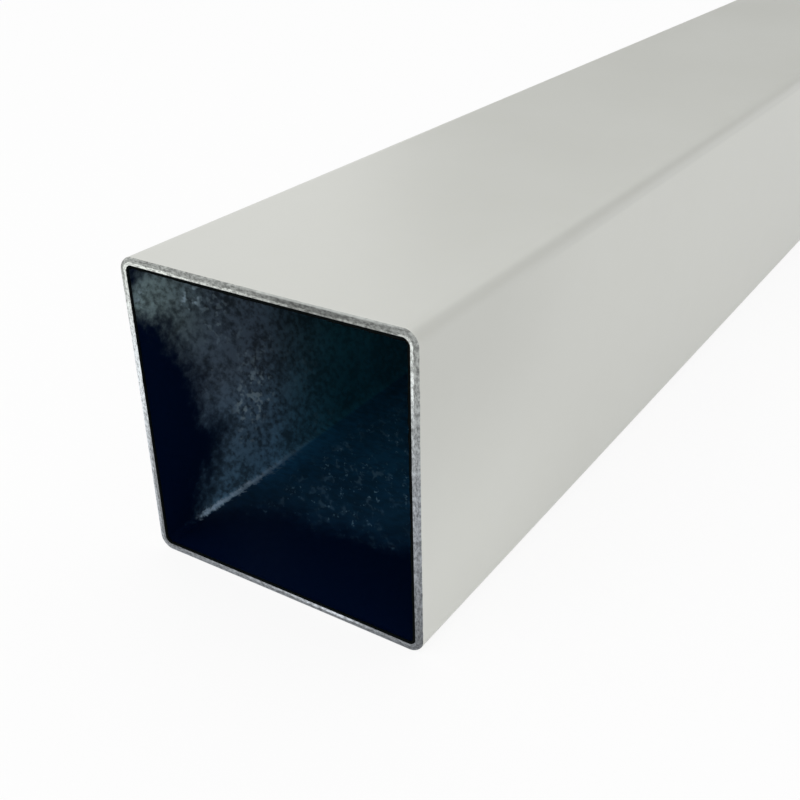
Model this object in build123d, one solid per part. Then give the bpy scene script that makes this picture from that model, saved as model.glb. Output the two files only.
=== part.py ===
from build123d import *
import os

# A length of cold-formed, seam-welded square steel hollow section, coated on its outside.
# Millimetres. The tube lies along Y with +Z up, and its origin is the middle of its underside.

# Section
outside_width = 65.0
wall = 1.6
inside_bend_radius = 1.2

# Stock length
length = 1800.0

# Seam weld, scarfed to a low bead inside the +X wall and flush outside
bead_width = 3.0
bead_height = 0.25
seam_above_centre = 6.0

# Light deburr of the two sawn ends
outer_edge_break = 0.3
inner_edge_break = 0.15

inside_width = outside_width - 2 * wall
outside_bend_radius = inside_bend_radius + wall
section_plane = Plane(origin=(0, length / 2, outside_width / 2), x_dir=(1, 0, 0), z_dir=(0, -1, 0))


def weld_bead():
    """The seam's cross-section: a low arc standing on the inner face of the +X wall."""
    face = inside_width / 2
    root = face + wall / 2
    low = seam_above_centre - bead_width / 2
    high = seam_above_centre + bead_width / 2
    with BuildSketch() as bead:
        with BuildLine():
            Polyline((face, low), (root, low), (root, high), (face, high))
            ThreePointArc((face, high), (face - bead_height, seam_above_centre), (face, low))
        make_face()
    return bead.sketch


def tube_section():
    """The wall's cross-section: a square ring with concentric bends, and the weld bead."""
    with BuildSketch(section_plane) as section:
        RectangleRounded(outside_width, outside_width, outside_bend_radius)
        RectangleRounded(inside_width, inside_width, inside_bend_radius, mode=Mode.SUBTRACT)
        add(weld_bead())
    return section.sketch


def sawn_tube():
    """The section run out to its stock length, with the edges of both sawn ends broken."""
    with BuildPart() as tube:
        extrude(tube_section(), amount=length)
        ends = tube.faces().filter_by(Axis.Y).sort_by(Axis.Y)
        for end in (ends[0], ends[-1]):
            chamfer(end.outer_wire().edges(), outer_edge_break)
            chamfer(end.inner_wires()[0].edges(), inner_edge_break)
    return tube.part


tube = sawn_tube()
os.makedirs("parts", exist_ok=True)
export_step(tube, "parts/tube.step")
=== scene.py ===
"""Looks of a coated square steel tube: its smooth coat, sawn ends and dark bore, on a pale studio floor."""
import math
from types import SimpleNamespace

import bpy
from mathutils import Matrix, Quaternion, Vector, noise


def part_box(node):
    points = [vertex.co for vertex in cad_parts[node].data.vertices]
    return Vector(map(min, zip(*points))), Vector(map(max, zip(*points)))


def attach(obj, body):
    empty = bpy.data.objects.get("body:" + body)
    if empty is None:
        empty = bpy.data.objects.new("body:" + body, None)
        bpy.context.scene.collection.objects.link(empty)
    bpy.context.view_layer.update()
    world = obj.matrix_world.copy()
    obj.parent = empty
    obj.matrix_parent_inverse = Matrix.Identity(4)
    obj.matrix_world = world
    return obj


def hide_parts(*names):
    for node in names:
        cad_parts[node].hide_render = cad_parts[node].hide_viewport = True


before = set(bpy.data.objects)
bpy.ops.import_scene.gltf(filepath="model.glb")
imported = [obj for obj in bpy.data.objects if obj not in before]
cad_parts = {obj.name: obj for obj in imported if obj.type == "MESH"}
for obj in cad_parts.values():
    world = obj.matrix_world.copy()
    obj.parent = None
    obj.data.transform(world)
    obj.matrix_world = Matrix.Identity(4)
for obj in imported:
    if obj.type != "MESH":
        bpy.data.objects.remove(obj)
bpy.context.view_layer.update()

# The frame, in metres. FLAT is half the width of a face's flat part.
MM = 0.001
LOW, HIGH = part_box("tube")
WIDTH = HIGH.x - LOW.x
HALF_LENGTH = (HIGH.y - LOW.y) / 2
LENGTH = 2 * HALF_LENGTH
CENTRE_Z = (HIGH.z + LOW.z) / 2
WALL = 1.6 * MM
BEND_RADIUS = 2.8 * MM
FLAT = WIDTH / 2 - BEND_RADIUS
BEAD_WIDTH = 3.0 * MM
BEAD_HEIGHT = 0.25 * MM
BEAD_ABOVE_CENTRE = 6.0 * MM
BEAD_SHARE_AT_CUT = 0.2
SEAM = Vector((WIDTH / 2 - WALL, 0.0, CENTRE_Z + BEAD_ABOVE_CENTRE))

# The skin's mesh. The faces sag by up to FACE_SAG, in slow waves along the tube.
FLAT_STEPS = 110
BEND_STEPS = 10
RING_POINTS = 4 * (FLAT_STEPS + BEND_STEPS)
BORE_STEPS = 60
COAT_STEPS = 30
OUTER_GIRTH = 8 * FLAT + 2 * math.pi * BEND_RADIUS
FACE_SAG = 0.12 * MM
SAG_WAVE = 0.35
RIM_FINISHES = ("cut", "burr")

# The sawn ends. The saw's marks slant, in radians, and each end has its own seed for its chips and burr.
COAT_THICKNESS = 0.07 * MM
COAT_STOPS_AT = 0.31 * MM
CUT_RECESS = 0.05 * MM
SAW_SLANT = 0.35
SAW_PITCH = 1.3 * MM
BURR_LEAST = 0.12 * MM
BURR_LIGHT = 0.26 * MM
BURR_HEAVY = 0.68 * MM
NEAR_END_SEED = 11.0
FAR_END_SEED = 41.0

# The map that the finishes are baked to: each patch's left, bottom, right and top, in shares of the picture.
# The bore's patch gives BORE_MOUTH_SHARE of its height to the first BORE_MOUTH metres at each end.
COAT_PATCH = (0.004, 0.004, 0.436, 0.916)
BORE_PATCH = (0.446, 0.004, 0.996, 0.916)
RIM_PATCHES = ((0.004, 0.926, 0.996, 0.956), (0.004, 0.966, 0.996, 0.996))
BORE_MOUTH = 0.15
BORE_MOUTH_SHARE = 0.36

# The coat's two tones from 0 to 255, and the painted shade and light on its sides: how much lighter or
# darker than its top they are painted
COAT_TONES = ((203, 204, 197), (208, 209, 204))
PAINTED_UPPER_BEND_SHADE = -0.085
PAINTED_SIDE_FOOT_LIGHT = 0.06
PAINTED_SIDE_TOP_SHADE = -0.086

# The steel's colours, as linear light
GREENISH_STEEL = (0.96, 1.0, 0.95, 1)
BLUISH_STEEL = (0.93, 0.99, 1.06, 1)
# The burr's two near-black colours are painted shade along the inner edges of the cuts
BURR_PAINTED_SHADE = (0.0010, 0.0018, 0.0020, 1)
BURR_PAINTED_SHADE_PALE = (0.0060, 0.0075, 0.0075, 1)
# The mouth's near black is painted shade
MOUTH_PAINTED_SHADE = (0.0003, 0.0038, 0.019, 1)
# The -X wall's colours and its pale patch near the mouth are painted light, brighter further in
WALL_PAINTED_LIGHT = (0.066, 0.096, 0.134, 1)
DEEP_WALL_PAINTED_LIGHT = (0.024, 0.122, 0.160, 1)
LIT_PATCH_PAINTED = (0.145, 0.205, 0.235, 1)
# The teal brightens further in, as painted light
MOUTH_TEAL = (0.003, 0.018, 0.047, 1)
TEAL = (0.006, 0.040, 0.088, 1)
DEEP_TEAL = (0.012, 0.094, 0.188, 1)
FLAKES = (0.46, 0.62, 0.72, 1)
GRIT = (0.34, 0.60, 0.80, 1)
SEAM_STEEL = (0.055, 0.075, 0.095, 1)
# The bright line along the bend under the -X wall is a painted highlight
BEND_PAINTED_HIGHLIGHT = (0.43, 0.59, 0.76, 1)

# Relief that the finishes add
PEEL_RELIEF = 0.012 * MM
FURROW_RELIEF = 0.03 * MM
TORN_RELIEF = 0.05 * MM
BORE_RELIEF = 0.05 * MM

# Where pale flakes lie thick on the -X wall: distance from the cut, height and spread, in mm, and strength
FLAKE_PATCHES = ((2, 56, 3, 0.6), (8, 51, 2, 0.7), (15, 51, 4, 1.0), (31, 22, 9, 0.5))


# ---------------------------------------------------------------- section

def stations():
    """Points round the outside of the section as (x, z, normal x, normal z), one closed loop."""
    loop = []
    for quarter in range(4):
        turn = quarter * math.pi / 2
        out = (math.cos(turn), math.sin(turn))
        along = (-out[1], out[0])
        for step in range(FLAT_STEPS):
            q = FLAT * (2 * step / FLAT_STEPS - 1)
            place = [out[k] * WIDTH / 2 + along[k] * q for k in (0, 1)]
            loop.append((*place, *out))
        corner = [(out[k] + along[k]) * FLAT for k in (0, 1)]
        for step in range(BEND_STEPS):
            angle = turn + step / BEND_STEPS * math.pi / 2
            normal = (math.cos(angle), math.sin(angle))
            place = [corner[k] + normal[k] * BEND_RADIUS for k in (0, 1)]
            loop.append((*place, *normal))
    return loop


def ragged(station, scale, seed):
    """Smooth noise from -1 to 1 round the section, with features about one scale long."""
    return noise.noise(Vector((station[0] / scale, station[1] / scale, seed)))


def sag(station, y):
    """How far a rolled face lies inside the true square, most at its middle."""
    x, z, nx, nz = station
    q = (z * nx - x * nz) / FLAT
    belly = max(0.0, 1 - q * q)
    return FACE_SAG * belly * (0.75 + 0.25 * noise.noise(Vector((nx, nz, y / SAG_WAVE))))


def bead(station, share=1.0):
    """Height of the weld bead that stands inside the +X wall, or a share of it where it is filed down."""
    q = (station[1] - BEAD_ABOVE_CENTRE) / (BEAD_WIDTH / 2)
    on_plus_x = station[2] > 0.99
    return share * BEAD_HEIGHT * (1 - q * q) if on_plus_x and abs(q) < 1 else 0.0


# ---------------------------------------------------------------- the sawn end's profile

def coat_edge(station, seed):
    """Distance from the saw cut to the chipped line where the coat ends."""
    chips = 0.11 * ragged(station, 1.3 * MM, seed) + 0.10 * ragged(station, 8 * MM, seed + 7)
    return COAT_STOPS_AT + chips * MM


def burr_width(station, seed):
    """How far the saw's inner burr, coloured near black as painted shade, stands into the bore: most on the
    top and the +X side.
    """
    teeth = 0.14 * ragged(station, 1.9 * MM, seed) + 0.12 * ragged(station, 9 * MM, seed + 3)
    heavy = max(station[2], station[3], 0.0)
    width = BURR_LIGHT + heavy * (BURR_HEAVY - BURR_LIGHT) + teeth * (0.4 + 0.6 * heavy) * MM
    return max(BURR_LEAST, width)


def furrow(station, depth):
    """How far the sawn face lies behind the end plane: shallow furrows across the whole section."""
    across = station[0] * math.sin(SAW_SLANT) + station[1] * math.cos(SAW_SLANT)
    wave = noise.noise(Vector((across / SAW_PITCH, depth / MM, 3.0)))
    return CUT_RECESS * (1 + 0.5 * wave)


def end_rings(seed):
    """The rings over a sawn end, from the coat to the bore: finish, depth and distance from the cut."""

    def inner(station):
        return WALL + bead(station, BEAD_SHARE_AT_CUT)

    def lip(station):
        return burr_width(station, seed)

    def edge(station):
        return coat_edge(station, seed)

    rings = [
        ("coat", lambda s: 0.0, lambda s: edge(s) + 0.50 * MM),
        ("coat", lambda s: 0.0, lambda s: edge(s) + 0.10 * MM),
        ("coat", lambda s: 0.2 * COAT_THICKNESS, lambda s: edge(s) + 0.02 * MM),
        ("cut", lambda s: COAT_THICKNESS, edge),
        ("cut", lambda s: 0.11 * MM, lambda s: 0.12 * MM),
        ("cut", lambda s: 0.19 * MM, lambda s: 0.06 * MM),
    ]
    for share in (0.0, 0.12, 0.25, 0.4, 0.55, 0.7, 0.85, 1.0):
        depth = 0.30 * MM + share * (WALL - 0.48 * MM)
        rings.append(("cut", lambda s, d=depth: d, lambda s, d=depth: furrow(s, d)))
    rings += [
        ("cut", lambda s: inner(s) - 0.10 * MM, lambda s: 0.0),
        ("burr", lambda s: inner(s) - 0.05 * MM, lambda s: 0.02 * MM),
        ("burr", lambda s: inner(s) + 0.4 * lip(s), lambda s: 0.10 * MM),
        ("burr", lambda s: inner(s) + 0.8 * lip(s), lambda s: 0.20 * MM),
        ("burr", lambda s: inner(s) + lip(s), lambda s: 0.30 * MM),
        ("burr", lambda s: inner(s) + 0.7 * lip(s), lambda s: 0.42 * MM),
        ("bore", lambda s: inner(s) + 0.2 * lip(s), lambda s: 0.60 * MM),
        ("bore", inner, lambda s: 0.75 * MM),
        ("bore", inner, lambda s: 1.1 * MM),
        ("bore", lambda s: WALL + bead(s), lambda s: 2.6 * MM),
    ]
    return rings


def between(first, last, count):
    """The places that divide a stretch into equal steps, without its two ends."""
    return [first + (last - first) * k / count for k in range(1, count)]


def all_rings():
    """Every ring of the closed skin as (finish, depth, y), from the near end's coat right round."""
    rings = []
    for finish, depth, inset in end_rings(NEAR_END_SEED):
        rings.append((finish, depth, lambda s, f=inset: f(s) - HALF_LENGTH))
    for y in between(-HALF_LENGTH, HALF_LENGTH, BORE_STEPS):
        rings.append(("bore", lambda s: WALL + bead(s), lambda s, y=y: y))
    for finish, depth, inset in reversed(end_rings(FAR_END_SEED)):
        rings.append((finish, depth, lambda s, f=inset: HALF_LENGTH - f(s)))
    for y in reversed(between(-HALF_LENGTH, HALF_LENGTH, COAT_STEPS)):
        rings.append(("coat", lambda s: 0.0, lambda s, y=y: y))
    return rings


# ---------------------------------------------------------------- the skin

def stretch_mouth(inset):
    """Share of the bore's patch at a distance from the near cut: its mouths get more than its middle."""
    if inset < BORE_MOUTH:
        return inset / BORE_MOUTH * BORE_MOUTH_SHARE
    if inset > LENGTH - BORE_MOUTH:
        return 1 - (LENGTH - inset) / BORE_MOUTH * BORE_MOUTH_SHARE
    middle = (inset - BORE_MOUTH) / (LENGTH - 2 * BORE_MOUTH)
    return BORE_MOUTH_SHARE + middle * (1 - 2 * BORE_MOUTH_SHARE)


def in_patch(patch, across, up):
    """A place on the map, from its shares of a patch's width and height."""
    return (patch[0] + across * (patch[2] - patch[0]), patch[1] + up * (patch[3] - patch[1]))


def band_finish(first, second):
    """The finish between two rings: burr wins over sawn steel, and that over the bore and the coat."""
    return max(first, second, key=lambda finish: ("coat", "bore", "cut", "burr").index(finish))


def rim_heights(rings, first, last):
    """Share of the profile's length at each ring over a sawn end, measured at one station."""
    station = LOOP[FLAT_STEPS // 2]
    spots = [Vector((rings[k][1](station), rings[k][2](station))) for k in range(first, last + 1)]
    lengths = [0.0]
    for one, other in zip(spots, spots[1:]):
        lengths.append(lengths[-1] + (other - one).length)
    return {first + k: length / lengths[-1] for k, length in enumerate(lengths)}


def skin_points(rings):
    """The place of every point of every ring."""
    points = []
    for _, depth, place in rings:
        for station in LOOP:
            y = place(station)
            inward = depth(station) + sag(station, y)
            x = station[0] - inward * station[2]
            z = station[1] - inward * station[3]
            points.append((x, y, CENTRE_Z + z))
    return points


def skin_bands(rings):
    """The finish of every band, its patch of the baked map, and the heights of its two sides there."""
    count = len(rings)
    finishes = [band_finish(rings[k][0], rings[(k + 1) % count][0]) for k in range(count)]
    rim_patches = iter(RIM_PATCHES)
    bands = []
    for k, finish in enumerate(finishes):
        if finish in RIM_FINISHES:
            if finishes[k - 1] not in RIM_FINISHES:
                patch = next(rim_patches)
                last = next(n for n in range(k, count) if finishes[n] not in RIM_FINISHES)
                heights = rim_heights(rings, k, last)
            bands.append((finish, patch, heights[k], heights[k + 1]))
            continue
        insets = [rings[n][2](LOOP[0]) + HALF_LENGTH for n in (k, (k + 1) % count)]
        if finish == "bore":
            bands.append((finish, BORE_PATCH, *(stretch_mouth(inset) for inset in insets)))
        else:
            bands.append((finish, COAT_PATCH, *(inset / LENGTH for inset in insets)))
    return bands


def build_skin(materials):
    """The tube's whole closed surface as one mesh, with its four finishes and its map."""
    rings = all_rings()
    names = list(materials)
    faces, kinds, places, turns, depths = [], [], [], [], []
    for r, (finish, patch, low, high) in enumerate(skin_bands(rings)):
        near, far = r * RING_POINTS, (r + 1) % len(rings) * RING_POINTS
        for k in range(RING_POINTS):
            n = (k + 1) % RING_POINTS
            faces.append((near + k, near + n, far + n, far + k))
            kinds.append(names.index(finish))
            for step, height in ((k, low), (k + 1, low), (k + 1, high), (k, high)):
                places.extend(in_patch(patch, step / RING_POINTS, height))
                turns.append(step / RING_POINTS)
    for _, depth, _ in rings:
        depths.extend(depth(station) for station in LOOP)
    mesh = bpy.data.meshes.new("square_tube")
    mesh.from_pydata(skin_points(rings), [], faces)
    for name in names:
        mesh.materials.append(materials[name])
    mesh.polygons.foreach_set("material_index", kinds)
    mesh.polygons.foreach_set("use_smooth", [True] * len(faces))
    mesh.uv_layers.new(name="OFBake").data.foreach_set("uv", places)
    mesh.attributes.new("around", "FLOAT", "CORNER").data.foreach_set("value", turns)
    mesh.attributes.new("depth", "FLOAT", "POINT").data.foreach_set("value", depths)
    mesh.update()
    piece = bpy.data.objects.new("square_tube", mesh)
    bpy.context.scene.collection.objects.link(piece)
    return piece


# ---------------------------------------------------------------- node helpers

class Graph:
    """Short calls that add nodes to one tree. An input may be a number, a tuple or a node's output."""

    def __init__(self, tree):
        self.tree = tree

    def add(self, kind, **settings):
        """A new node with its settings."""
        node = self.tree.nodes.new("ShaderNode" + kind)
        for name, value in settings.items():
            setattr(node, name, value)
        return node

    def feed(self, socket, value):
        """Links an output to a socket, or sets the socket's own value."""
        if isinstance(value, bpy.types.NodeSocket):
            self.tree.links.new(value, socket)
        else:
            socket.default_value = value

    def feed_all(self, node, values):
        """Feeds a node's first sockets in order."""
        for socket, value in zip(node.inputs, values):
            self.feed(socket, value)

    def math(self, operation, *values):
        """One operation on numbers."""
        node = self.add("Math", operation=operation)
        self.feed_all(node, values)
        return node.outputs[0]

    def times(self, first, *others):
        """The product of numbers."""
        for other in others:
            first = self.math("MULTIPLY", first, other)
        return first

    def plus(self, first, *others):
        """The sum of numbers."""
        for other in others:
            first = self.math("ADD", first, other)
        return first

    def minus(self, first, second):
        """One number less another."""
        return self.math("SUBTRACT", first, second)

    def mix(self, share, first, last):
        """A number on the way from first to last."""
        return self.plus(first, self.times(share, self.minus(last, first)))

    def attribute(self, name):
        """A number that the mesh carries."""
        return self.add("Attribute", attribute_name=name).outputs["Fac"]

    def place(self):
        """The place on the object, in metres."""
        return self.add("TexCoord").outputs["Object"]

    def split(self, vector):
        """A vector's x, y and z."""
        node = self.add("SeparateXYZ")
        self.feed(node.inputs[0], vector)
        return node.outputs

    def join(self, x, y, z):
        """A vector from its x, y and z."""
        node = self.add("CombineXYZ")
        self.feed_all(node, (x, y, z))
        return node.outputs[0]

    def distance(self, one, other):
        """How far apart two places are."""
        node = self.add("VectorMath", operation="DISTANCE")
        self.feed_all(node, (one, other))
        return node.outputs["Value"]

    def noise(self, vector, scale, detail, roughness):
        """Soft noise from 0 to 1, with about this many features to the metre."""
        node = self.add("TexNoise")
        values = {"Vector": vector, "Scale": scale, "Detail": detail, "Roughness": roughness}
        for name, value in values.items():
            self.feed(node.inputs[name], value)
        return node.outputs["Fac"]

    def step(self, value, low, high, first=0.0, last=1.0):
        """A smooth change from first to last while the value goes from low to high."""
        node = self.add("MapRange", interpolation_type="SMOOTHSTEP")
        self.feed_all(node, (value, low, high, first, last))
        return node.outputs[0]

    def curve(self, value, *points):
        """A line through points with x from 0 to 1."""
        node = self.add("FloatCurve")
        line = node.mapping.curves[0]
        line.points[0].location = points[0]
        line.points[1].location = points[-1]
        for point in points[1:-1]:
            line.points.new(*point)
        for point in line.points:
            point.handle_type = "VECTOR"
        node.mapping.update()
        self.feed(node.inputs["Value"], value)
        return node.outputs[0]

    def blend(self, factor, low, high):
        """A colour on the way from low to high."""
        node = self.add("Mix", data_type="RGBA")
        self.feed(node.inputs["Factor"], factor)
        self.feed(node.inputs["A"], low)
        self.feed(node.inputs["B"], high)
        return node.outputs["Result"]

    def tint(self, colour, share):
        """A colour scaled by a number."""
        node = self.add("VectorMath", operation="SCALE")
        self.feed(node.inputs[0], colour)
        self.feed(node.inputs["Scale"], share)
        return node.outputs["Vector"]

    def shade(self, colour, red, green, blue):
        """A colour with its red, green and blue each scaled."""
        node = self.add("VectorMath", operation="MULTIPLY")
        self.feed_all(node, (colour, (red, green, blue)))
        return node.outputs["Vector"]

    def bump(self, height, distance):
        """A normal from a height of 0 to 1 that stands for a relief of one distance, in metres."""
        node = self.add("Bump")
        self.feed(node.inputs["Height"], height)
        self.feed(node.inputs["Distance"], distance)
        return node.outputs[0]


def new_finish(name):
    """A material with its graph and its shader."""
    material = bpy.data.materials.new(name)
    material.use_nodes = True
    graph = Graph(material.node_tree)
    shader = material.node_tree.nodes["Principled BSDF"]
    return material, graph, shader


def srgb(levels):
    """A colour written as 0 to 255, as linear light."""
    shares = [v / 255 for v in levels]
    return [v / 12.92 if v <= 0.04045 else ((v + 0.055) / 1.055) ** 2.4 for v in shares] + [1.0]


def distance_from_cut(g, y):
    """Distance along the tube from the nearer sawn end."""
    return g.minus(HALF_LENGTH, g.math("ABSOLUTE", y))


# ---------------------------------------------------------------- coat, sawn steel and burr

def painted_side_shading(g, place):
    """The coat's level, with painted shade and light on the sides: away from the cuts a painted shade along
    each upper bend, and near the cuts instead a painted gradient from light at each side's foot to shade at
    its top.
    """
    x, y, z = g.split(place)
    height = g.minus(z, CENTRE_Z)
    inset = distance_from_cut(g, y)
    slant = g.times(g.math("MINIMUM", inset, 3 * WIDTH), 0.006)
    side = g.step(g.minus(g.math("ABSOLUTE", x), slant), FLAT + 0.7 * MM, FLAT + 1.8 * MM)
    painted_bend_shade_and_sheen = g.step(g.plus(height, slant), FLAT - 1.0 * MM, FLAT + 0.1 * MM, 0.0, PAINTED_UPPER_BEND_SHADE)
    painted_side_gradient = g.step(height, -20 * MM, 24 * MM, PAINTED_SIDE_FOOT_LIGHT, PAINTED_SIDE_TOP_SHADE)
    near = g.step(inset, 0.3 * WIDTH, 1.1 * WIDTH, 1.0, 0.0)
    return g.plus(1.0, g.times(side, g.mix(near, painted_bend_shade_and_sheen, painted_side_gradient)))


def coat_finish():
    """Smooth satin powder coat: fine orange peel, a very slight unevenness of tone, and painted shade and
    light on its sides.
    """
    material, g, shader = new_finish("powder_coat")
    place = g.place()
    broad = g.noise(place, 22, 3, 0.55)
    fine = g.noise(place, 140, 2, 0.5)
    peel = g.noise(place, 520, 2, 0.5)
    tone = g.plus(g.times(broad, 0.7), g.times(fine, 0.3))
    colour = g.blend(tone, srgb(COAT_TONES[0]), srgb(COAT_TONES[1]))
    # The tint carries the painted shade and light on the sides
    g.feed(shader.inputs["Base Color"], g.tint(colour, painted_side_shading(g, place)))
    g.feed(shader.inputs["Roughness"], g.step(broad, 0.3, 0.7, 0.355, 0.395))
    g.feed(shader.inputs["Normal"], g.bump(peel, PEEL_RELIEF))
    return material


# In the curves below, a place round the section goes from 0 at the foot of the +X side up to its bend,
# over the top from 0.25, down the -X side from 0.5, and back along the underside from 0.75 to 1.

def cut_level_and_highlight(g, around, share, waver):
    """The sawn steel's level: dull outside a wavering line within the wall, and bright inside it; the bright
    inner part and the level's changes round the section are partly the steel's own tones and partly a
    painted highlight where the inner edge catches the light.
    """
    outer = g.curve(
        around,
        (0.0, 0.17), (0.08, 0.29), (0.20, 0.36), (0.25, 0.28), (0.31, 0.175), (0.335, 0.17),
        (0.365, 0.26), (0.40, 0.32), (0.50, 0.38), (0.54, 0.82), (0.58, 0.88), (0.65, 0.58),
        (0.72, 0.40), (0.75, 0.25), (0.95, 0.19), (1.0, 0.17),
    )
    inner = g.curve(
        around,
        (0.0, 0.19), (0.06, 0.32), (0.17, 0.44), (0.20, 0.74), (0.235, 0.74), (0.26, 0.36),
        (0.33, 0.30), (0.40, 0.60), (0.48, 0.84), (0.54, 0.80), (0.58, 0.90), (0.66, 0.30),
        (0.73, 0.20), (0.85, 0.38), (0.915, 0.70), (0.94, 0.36), (1.0, 0.19),
    )
    split_at = g.curve(
        around,
        (0.0, 0.60), (0.17, 0.60), (0.206, 0.55), (0.25, 0.72), (0.34, 0.72), (0.37, 0.65),
        (0.45, 0.64), (0.56, 0.35), (0.75, 0.55), (0.88, 0.59), (0.925, 0.48), (0.95, 0.58),
        (1.0, 0.60),
    )
    split_at = g.plus(split_at, g.step(waver, 0.3, 0.7, -0.10, 0.10))
    return g.mix(g.step(g.minus(share, split_at), -0.04, 0.05), outer, inner)


def rubbed_edge(g, around, share):
    """How far the outermost edge is rubbed bright, most on the left."""
    rubbed = g.curve(
        around,
        (0.0, 0.0), (0.24, 0.0), (0.28, 0.35), (0.36, 0.35), (0.40, 0.0), (0.51, 0.0),
        (0.54, 0.7), (0.73, 0.7), (0.76, 0.3), (0.96, 0.3), (1.0, 0.0),
    )
    return g.times(rubbed, g.step(share, 0.10, 0.24, 1.0, 0.0))


def cut_finish():
    """Bare sawn steel, streaked and furrowed, greenish on top and bluish elsewhere, with a partly painted
    highlight on its inner part.
    """
    material, g, shader = new_finish("sawn_steel")
    around = g.attribute("around")
    depth = g.attribute("depth")
    share = g.math("DIVIDE", depth, WALL)
    along = g.times(around, OUTER_GIRTH)
    streaks = g.noise(g.join(g.times(along, 0.5), depth, 0.0), 2000, 4, 0.75)
    waver = g.noise(g.join(along, 0.0, 0.0), 170, 3, 0.6)
    # The level holds a painted highlight on the inner part of the sawn face
    level = g.times(cut_level_and_highlight(g, around, share, waver), g.step(streaks, 0.34, 0.66, 0.45, 1.45))
    level = g.math("MINIMUM", g.mix(rubbed_edge(g, around, share), level, 0.90), 0.93)
    cool = g.curve(
        around,
        (0.0, 1.0), (0.12, 1.0), (0.22, 0.1), (0.5, 0.0), (0.56, 0.6), (0.75, 1.0), (1.0, 1.0),
    )
    g.feed(shader.inputs["Base Color"], g.tint(g.blend(cool, GREENISH_STEEL, BLUISH_STEEL), level))
    shader.inputs["Metallic"].default_value = 1.0
    g.feed(shader.inputs["Roughness"], g.step(streaks, 0.3, 0.7, 0.30, 0.5))
    x, _, z = g.split(g.place())
    across = g.plus(g.times(x, math.sin(SAW_SLANT)), g.times(z, math.cos(SAW_SLANT)))
    furrows = g.noise(g.join(across, 0.0, 0.0), 2600, 2, 0.6)
    g.feed(shader.inputs["Normal"], g.bump(furrows, FURROW_RELIEF))
    return material


def painted_shade_burr_finish():
    """The saw's inner burr: matt and torn, and coloured near black as painted shade along the inner edge."""
    material, g, shader = new_finish("burr")
    torn = g.noise(g.place(), 1500, 3, 0.6)
    # Painted shade: the burr's near black
    g.feed(shader.inputs["Base Color"], g.blend(torn, BURR_PAINTED_SHADE, BURR_PAINTED_SHADE_PALE))
    shader.inputs["Roughness"].default_value = 0.8
    shader.inputs["Specular IOR Level"].default_value = 0.0
    g.feed(shader.inputs["Normal"], g.bump(torn, TORN_RELIEF))
    return material


# ---------------------------------------------------------------- bore

def slanted(g, across, inset, other, squeeze):
    """Coordinates on a wall, squeezed along its diagonal, so that marks run across that diagonal."""
    along = g.times(g.plus(across, inset), squeeze)
    return g.join(along, g.minus(across, inset), other)


def bore_inputs(g):
    """What the bore's look depends on. Reach is the distance from the nearer cut in tube widths."""
    place = g.place()
    x, y, z = g.split(place)
    inset = distance_from_cut(g, y)
    return SimpleNamespace(
        x=x,
        z=z,
        inset=inset,
        reach=g.math("DIVIDE", inset, WIDTH),
        around=g.attribute("around"),
        wall_spot=slanted(g, z, inset, x, 1.7),
        floor_spot=slanted(g, x, inset, z, 2.2),
        patches=g.noise(place, 75, 2, 0.5),
        clouds=g.noise(place, 90, 3, 0.6),
        grain=g.noise(place, 520, 5, 0.75),
        fine=g.noise(place, 1100, 3, 0.6),
    )


def past_mouth(g, at):
    """How far a place lies past the frayed end of the mouth's painted shade, in tube widths."""
    mouth = g.curve(
        at.around,
        (0.0, 0.34), (0.12, 0.28), (0.24, 0.20), (0.40, 0.10), (0.50, 0.02), (0.508, 0.01),
        (0.517, -0.08), (0.532, -0.10), (0.541, 0.02), (0.552, 0.05), (0.58, 0.13), (0.616, 0.17),
        (0.647, 0.205), (0.668, 0.25), (0.69, 0.18), (0.715, 0.14), (0.735, 0.115), (0.744, 0.13),
        (0.752, 0.17), (0.775, 0.22), (0.81, 0.27), (0.86, 0.285), (0.925, 0.31), (1.0, 0.34),
    )
    fray = g.plus(g.times(at.clouds, 0.16), g.times(at.grain, 0.22), -0.19)
    return g.plus(g.minus(at.reach, mouth), fray)


def painted_light_share(g, at):
    """Where the -X wall's painted light lies: all over the -X wall, thinning over the roof, and a trace on
    the +X wall.
    """
    return g.curve(
        at.around,
        (0.0, 0.25), (0.3, 0.35), (0.48, 0.9), (0.55, 1.0), (0.742, 1.0), (0.749, 0.0),
        (0.98, 0.0), (1.0, 0.25),
    )


def painted_light_level(g, at):
    """How bright the painted light on the -X wall is down the wall and inwards, with more along the wall's
    foot and head.
    """
    down = g.curve(
        at.around,
        (0.0, 1.0), (0.525, 1.14), (0.56, 0.74), (0.61, 0.94), (0.64, 1.08), (0.655, 1.20),
        (0.685, 0.99), (0.70, 1.08), (1.0, 1.08),
    )
    inwards = g.curve(
        g.times(at.reach, 0.5),
        (0.0, 1.0), (0.2, 1.0), (0.275, 1.25), (0.325, 1.04), (0.375, 0.92), (0.425, 0.89),
        (0.475, 0.79), (0.525, 0.88), (0.575, 1.12), (0.625, 1.5), (1.0, 1.5),
    )
    foot = g.curve(at.around, (0.0, 0.0), (0.65, 0.0), (0.70, 1.0), (1.0, 1.0))
    foot = g.times(foot, g.step(at.reach, 0.40, 0.65, 0.20, 0.44), g.step(at.reach, 0.70, 0.95, 1.0, 0.0))
    head = g.curve(at.around, (0.0, 0.0), (0.50, 1.0), (0.57, 1.0), (0.60, 0.0), (1.0, 0.0))
    head = g.times(head, g.step(at.reach, 0.25, 0.38, 0.0, 0.30))
    return g.times(down, g.plus(foot, head, 1.0), inwards)


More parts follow.
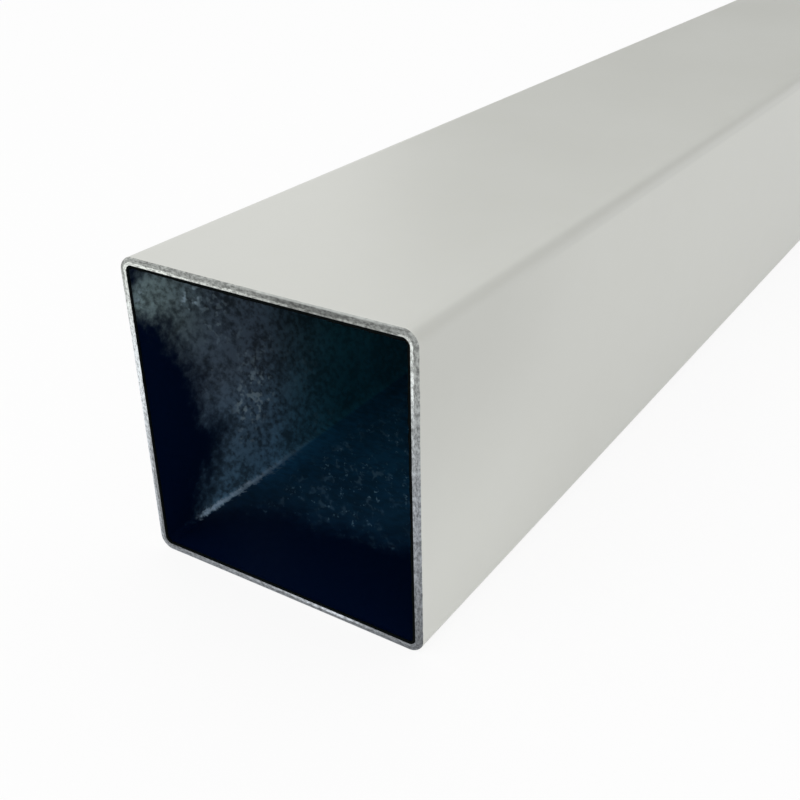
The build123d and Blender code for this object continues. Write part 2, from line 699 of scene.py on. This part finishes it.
def painted_light_colour(g, at):
    """The -X wall's painted light: olive under the roof, bluer towards the floor and with depth, with a
    painted lit patch under the roof near the mouth.
    """
    lit_wall = g.blend(g.step(at.reach, 0.48, 1.05), WALL_PAINTED_LIGHT, DEEP_WALL_PAINTED_LIGHT)
    painted_lit_patch = g.curve(at.around, (0.0, 0.0), (0.5, 1.0), (0.56, 1.0), (0.61, 0.0), (1.0, 0.0))
    # A painted lit patch under the roof near the mouth
    lit_wall = g.blend(g.times(painted_lit_patch, g.step(at.reach, 0.08, 0.34, 1.0, 0.0)), lit_wall, LIT_PATCH_PAINTED)
    olive = g.curve(at.around, (0.0, 0.0), (0.49, 0.0), (0.52, 0.4), (0.54, 0.32), (0.59, 0.0), (1.0, 0.0))
    lit_wall = g.blend(olive, lit_wall, g.shade(lit_wall, 1.02, 1.02, 0.80))
    blue = g.curve(at.around, (0.0, 0.0), (0.62, 0.0), (0.72, 1.0), (1.0, 1.0))
    lit_wall = g.blend(blue, lit_wall, g.shade(lit_wall, 0.74, 1.10, 1.26))
    return g.tint(lit_wall, painted_light_level(g, at))


def teal_colour(g, at):
    """The blue tone of the other walls, brightening with depth as painted light, with a painted sheen along
    the bend below the -X wall.
    """
    teal = g.blend(g.step(at.reach, 0.25, 0.50), MOUTH_TEAL, TEAL)
    teal = g.blend(g.step(at.reach, 0.45, 1.1), teal, DEEP_TEAL)
    inwards = g.curve(
        g.times(at.reach, 0.5),
        (0.0, 1.0), (0.175, 1.0), (0.225, 0.84), (0.275, 1.0), (0.325, 1.13), (0.375, 1.08),
        (0.45, 1.02), (0.55, 1.02), (0.65, 1.15), (1.0, 1.15),
    )
    # Painted sheen along the bend below the -X wall
    painted_bend_shade_and_sheen = g.curve(at.around, (0.0, 0.0), (0.70, 0.0), (0.74, 1.0), (0.755, 1.0), (0.775, 0.0), (1.0, 0.0))
    painted_bend_shade_and_sheen = g.times(painted_bend_shade_and_sheen, g.step(at.reach, 0.30, 0.50, 0.0, 0.8), g.step(at.reach, 0.60, 1.05, 1.0, 0.0))
    return g.tint(teal, g.times(inwards, g.plus(painted_bend_shade_and_sheen, 1.0)))


def mottle_level(g, at, wall):
    """The steel's uneven tone, strongest in the -X wall's painted light near the mouth, and a little darker
    further in.
    """
    lumps = g.plus(g.times(at.clouds, 0.35), g.times(g.noise(at.wall_spot, 380, 4, 0.6), 0.65))
    lumps = g.step(lumps, 0.38, 0.62, -0.58, 0.58)
    strength = g.step(wall, 0.0, 1.0, 0.43, g.step(at.reach, 0.5, 1.2, 1.0, 0.43))
    mottle = g.plus(g.times(lumps, strength), 1.01)
    return g.times(mottle, g.step(at.reach, 0.8, 2.2, 1.0, 0.85))


def flakes_on_wall(g, at):
    """Pale flakes on the -X wall's painted light, thick in a few places."""
    thick = g.step(at.patches, 0.55, 0.66, 0.0, 0.3)
    thick = g.times(thick, g.step(at.inset, 0.45 * WIDTH, 0.70 * WIDTH, 1.0, 0.2))
    spot = g.join(at.x, at.inset, at.z)
    for inset_mm, height_mm, spread_mm, strength in FLAKE_PATCHES:
        centre = Vector((-WIDTH / 2, inset_mm * MM, height_mm * MM))
        spread = spread_mm * MM
        patch = g.step(g.distance(spot, centre), 0.5 * spread, spread, strength, 0.0)
        thick = g.math("MAXIMUM", thick, patch)
    return g.times(g.step(g.noise(at.wall_spot, 400, 1, 0.5), 0.52, 0.68), thick)


def grit_on_floor(g, at):
    """Short strokes and grains of grit, which leave a strip beside the -X wall clean."""
    strokes = g.math("ABSOLUTE", g.minus(g.noise(at.floor_spot, 160, 1, 0.5), 0.5))
    strokes = g.step(strokes, 0.01, 0.10, 1.0, 0.0)
    strokes = g.times(strokes, g.step(g.noise(at.floor_spot, 230, 2, 0.5), 0.50, 0.60))
    grains = g.step(g.noise(at.floor_spot, 360, 2, 0.6), 0.62, 0.72)
    grit = g.math("MAXIMUM", g.times(strokes, 0.09), g.times(grains, 0.26))
    clean = g.step(at.x, -27 * MM, -20 * MM)
    thick = g.times(g.step(at.patches, 0.36, 0.50), g.step(at.reach, 0.35, 0.75, 1.0, 2.0))
    return g.times(grit, clean, thick)


def pale_specks(g, at, wall):
    """Flakes where the -X wall's painted light is and grit where it isn't, both gone further in."""
    flakes = g.times(flakes_on_wall(g, at), wall)
    grit = g.times(grit_on_floor(g, at), g.minus(1.0, wall))
    return g.times(g.math("MAXIMUM", flakes, grit), g.step(at.reach, 0.9, 1.4, 1.0, 0.0))


def seam_line(g, at):
    """The weld's bare bead on the +X wall."""
    seam = g.step(g.distance(g.join(at.x, 0.0, at.z), SEAM), 1.1 * MM, 1.6 * MM, 1.0, 0.0)
    return g.times(seam, g.step(at.grain, 0.35, 0.6, 0.3, 0.8))


def painted_bend_highlight(g, at):
    """A painted highlight along the bend under the -X wall, ragged and fading with depth."""
    drift = g.step(at.reach, 0.15, 0.50, 0.003, -0.0035)
    line = g.curve(
        g.plus(at.around, drift, g.step(at.fine, 0.3, 0.7, -0.0035, 0.0035)),
        (0.0, 0.0), (0.7335, 0.0), (0.7370, 1.0), (0.7450, 1.0), (0.7485, 0.0), (1.0, 0.0),
    )
    start = g.step(g.plus(at.reach, g.times(at.grain, 0.08)), 0.168, 0.218)
    fade = g.step(at.reach, 0.10, 0.80, 1.0, 0.0)
    return g.times(line, start, fade, g.step(at.grain, 0.35, 0.65, 0.5, 1.0))


def bore_finish():
    """The bore's dark steel: near black at the mouth as painted shade, with painted light further in that
    grows with depth, and flakes and grit.
    """
    material, g, shader = new_finish("bore_steel")
    at = bore_inputs(g)
    wall = painted_light_share(g, at)
    inside = g.blend(wall, teal_colour(g, at), painted_light_colour(g, at))
    inside = g.tint(inside, mottle_level(g, at, wall))
    inside = g.blend(pale_specks(g, at, wall), inside, g.blend(wall, GRIT, FLAKES))
    # Painted shade at the mouth, giving way further in to the walls' painted light
    lit = g.step(past_mouth(g, at), -0.02, 0.17)
    colour = g.blend(lit, MOUTH_PAINTED_SHADE, inside)
    colour = g.blend(seam_line(g, at), colour, SEAM_STEEL)
    # Painted highlight along the bend under the -X wall
    colour = g.blend(painted_bend_highlight(g, at), colour, BEND_PAINTED_HIGHLIGHT)
    g.feed(shader.inputs["Base Color"], colour)
    g.feed(shader.inputs["Roughness"], g.plus(g.times(lit, 0.3), 0.28))
    shader.inputs["Specular IOR Level"].default_value = 0.2
    g.feed(shader.inputs["Normal"], g.bump(at.grain, BORE_RELIEF))
    return material


# ---------------------------------------------------------------- studio

# The camera, placed in tube widths from the middle of the near end
CAMERA_FROM_END = Vector((1.7692, -1.9624, 1.5858))
AIM_FROM_END = Vector((0.5146, 0.0, 0.3217))
CAMERA_ROLL = -0.0113
LENS = 48.83
SHIFT = -0.03

# Floor and surroundings
FLOOR_HALF_WIDTH = 12.0
FLOOR_GAP = 0.02 * MM
FLOOR_WHITE_SHARE = 0.88
WORLD_LEVEL = 1.02
WORLD_DIM_ON_RIGHT = 0.14

# The card that the top face mirrors
CARD_AZIMUTH = math.radians(9)
CARD_DISTANCE = 5.0
CARD_HALF_WIDTH = 4.7
CARD_FOOT = 0.3
CARD_TOP = 3.9

# Lamps as place, what they shine at, size and power
UPPER_LAMP = (Vector((-0.25, -1.45, 0.85)), Vector((0.0, -HALF_LENGTH, WIDTH)), 0.6, 0.83)
LOWER_LAMP = (Vector((0.6, -1.2, 0.05)), Vector((WIDTH / 2, -HALF_LENGTH, 0.0)), 0.2, 0.25)


def add_camera():
    """The camera at the photographed angle."""
    end = Vector((0.0, -HALF_LENGTH, CENTRE_Z))
    camera = bpy.data.objects.new("camera", bpy.data.cameras.new("camera"))
    bpy.context.scene.collection.objects.link(camera)
    camera.location = end + CAMERA_FROM_END * WIDTH
    toward = (AIM_FROM_END - CAMERA_FROM_END).to_track_quat("-Z", "Y")
    camera.rotation_mode = "QUATERNION"
    camera.rotation_quaternion = toward @ Quaternion((0, 0, 1), CAMERA_ROLL)
    camera.data.lens = LENS
    camera.data.shift_x = SHIFT
    camera.data.clip_start = 0.01
    bpy.context.scene.camera = camera


def add_matt_sheet(name, corners, grey, roughness):
    """A flat four-cornered sheet in one matt grey: its object, graph and shader."""
    mesh = bpy.data.meshes.new(name)
    mesh.from_pydata(corners, [], [(0, 1, 2, 3)])
    sheet = bpy.data.objects.new(name, mesh)
    bpy.context.scene.collection.objects.link(sheet)
    material, g, shader = new_finish(name)
    shader.inputs["Base Color"].default_value = (grey, grey, grey, 1)
    shader.inputs["Roughness"].default_value = roughness
    shader.inputs["Specular IOR Level"].default_value = 0.0
    mesh.materials.append(material)
    return sheet, g, shader


def seen_ray(g):
    """1 for rays from the camera, and for what it sees in a reflection or through glass."""
    path = g.add("LightPath")
    seen = g.math("MAXIMUM", path.outputs["Is Camera Ray"], path.outputs["Is Glossy Ray"])
    return g.math("MAXIMUM", seen, path.outputs["Is Transmission Ray"])


def add_floor():
    """A white floor that shows mostly as plain white to the eye, and keeps part of the tube's shadow."""
    size = FLOOR_HALF_WIDTH
    level = LOW.z - FLOOR_GAP
    corners = [(-size, -size, level), (size, -size, level), (size, size, level), (-size, size, level)]
    floor, g, shader = add_matt_sheet("floor", corners, 0.9, 0.9)
    glow = g.add("Emission")
    both = g.add("MixShader")
    g.feed(both.inputs[0], g.times(seen_ray(g), FLOOR_WHITE_SHARE))
    g.feed(both.inputs[1], shader.outputs[0])
    g.feed(both.inputs[2], glow.outputs[0])
    g.feed(g.tree.nodes["Material Output"].inputs["Surface"], both.outputs[0])


def add_world():
    """White surroundings, which light the right side a little less."""
    world = bpy.data.worlds.new("world")
    bpy.context.scene.world = world
    world.use_nodes = True
    g = Graph(world.node_tree)
    rightward = g.split(g.add("TexCoord").outputs["Generated"])[0]
    level = g.step(rightward, 0.0, 1.0, WORLD_LEVEL, WORLD_LEVEL - WORLD_DIM_ON_RIGHT)
    background = world.node_tree.nodes["Background"]
    background.inputs["Color"].default_value = (1, 1, 1, 1)
    g.feed(background.inputs["Strength"], g.math("MAXIMUM", level, seen_ray(g)))


def add_card():
    """A large dark grey card behind the tube, for its faces to mirror. The camera doesn't see it."""
    out = Vector((math.sin(CARD_AZIMUTH), math.cos(CARD_AZIMUTH), 0.0))
    side = Vector((out.y, -out.x, 0.0))
    foot = Vector((0.0, -HALF_LENGTH, 0.0)) + out * CARD_DISTANCE
    corners = []
    for across, height in ((-1, CARD_FOOT), (1, CARD_FOOT), (1, CARD_TOP), (-1, CARD_TOP)):
        corners.append(foot + side * across * CARD_HALF_WIDTH + Vector((0.0, 0.0, height)))
    card, _, _ = add_matt_sheet("grey_card", corners, 0.2, 1.0)
    card.visible_camera = False


def add_softbox(place, target, size, power):
    """A large soft lamp that shines from one place towards another."""
    lamp = bpy.data.lights.new("softbox", "AREA")
    lamp.shape = "DISK"
    lamp.size = size
    lamp.energy = power
    softbox = bpy.data.objects.new("softbox", lamp)
    bpy.context.scene.collection.objects.link(softbox)
    softbox.location = place
    softbox.rotation_euler = (target - place).to_track_quat("-Z", "Y").to_euler()
    softbox.visible_camera = False


LOOP = stations()
tube = build_skin({"coat": coat_finish(), "cut": cut_finish(), "burr": painted_shade_burr_finish(), "bore": bore_finish()})
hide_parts("tube")
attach(tube, "root")
add_floor()
add_world()
add_card()
add_softbox(*UPPER_LAMP)
add_softbox(*LOWER_LAMP)
add_camera()
bpy.context.scene.view_settings.view_transform = "Standard"
